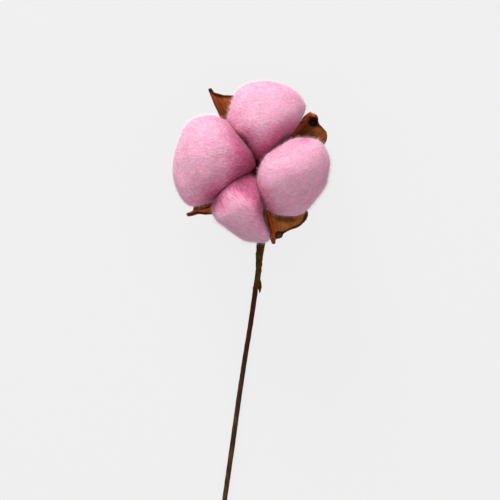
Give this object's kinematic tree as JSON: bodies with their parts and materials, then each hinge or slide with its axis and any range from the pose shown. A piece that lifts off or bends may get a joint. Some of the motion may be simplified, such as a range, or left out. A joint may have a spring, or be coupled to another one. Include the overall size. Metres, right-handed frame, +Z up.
{
  "type": "cotton boll",
  "caption": "Ripe cotton boll with fluffy pink-dyed locks between the pointed woody valves of its burr, on a bent peduncle and a slim cut stem, lying with its open face up.",
  "frame": {"origin": "on the surface that the boll lies on, in the middle of the small flat spot under its top lock", "axes": "+Z up out of the surface, towards the open face; -Y along the stalk to its cut end; +X to the right when seen from above with the stalk pointing down"},
  "size_m": [0.0567, 0.1787, 0.0445],
  "materials": {
    "cotton": "soft matte fibre, dyed pink",
    "burr": "dry woody fruit wall, golden inside, red-brown ridges, low sheen",
    "calyx": "dry papery cup, matt",
    "peduncle": "olive-brown bark, matt",
    "stem": "dark red-brown bark, low sheen"
  },
  "bodies": {
    "root": {"burr": "burr", "calyx": "calyx", "peduncle": "peduncle", "stem": "stem", "lock_top": "cotton", "lock_left": "cotton", "lock_bottom": "cotton", "lock_right": "cotton"}
  },
  "joints": []
}
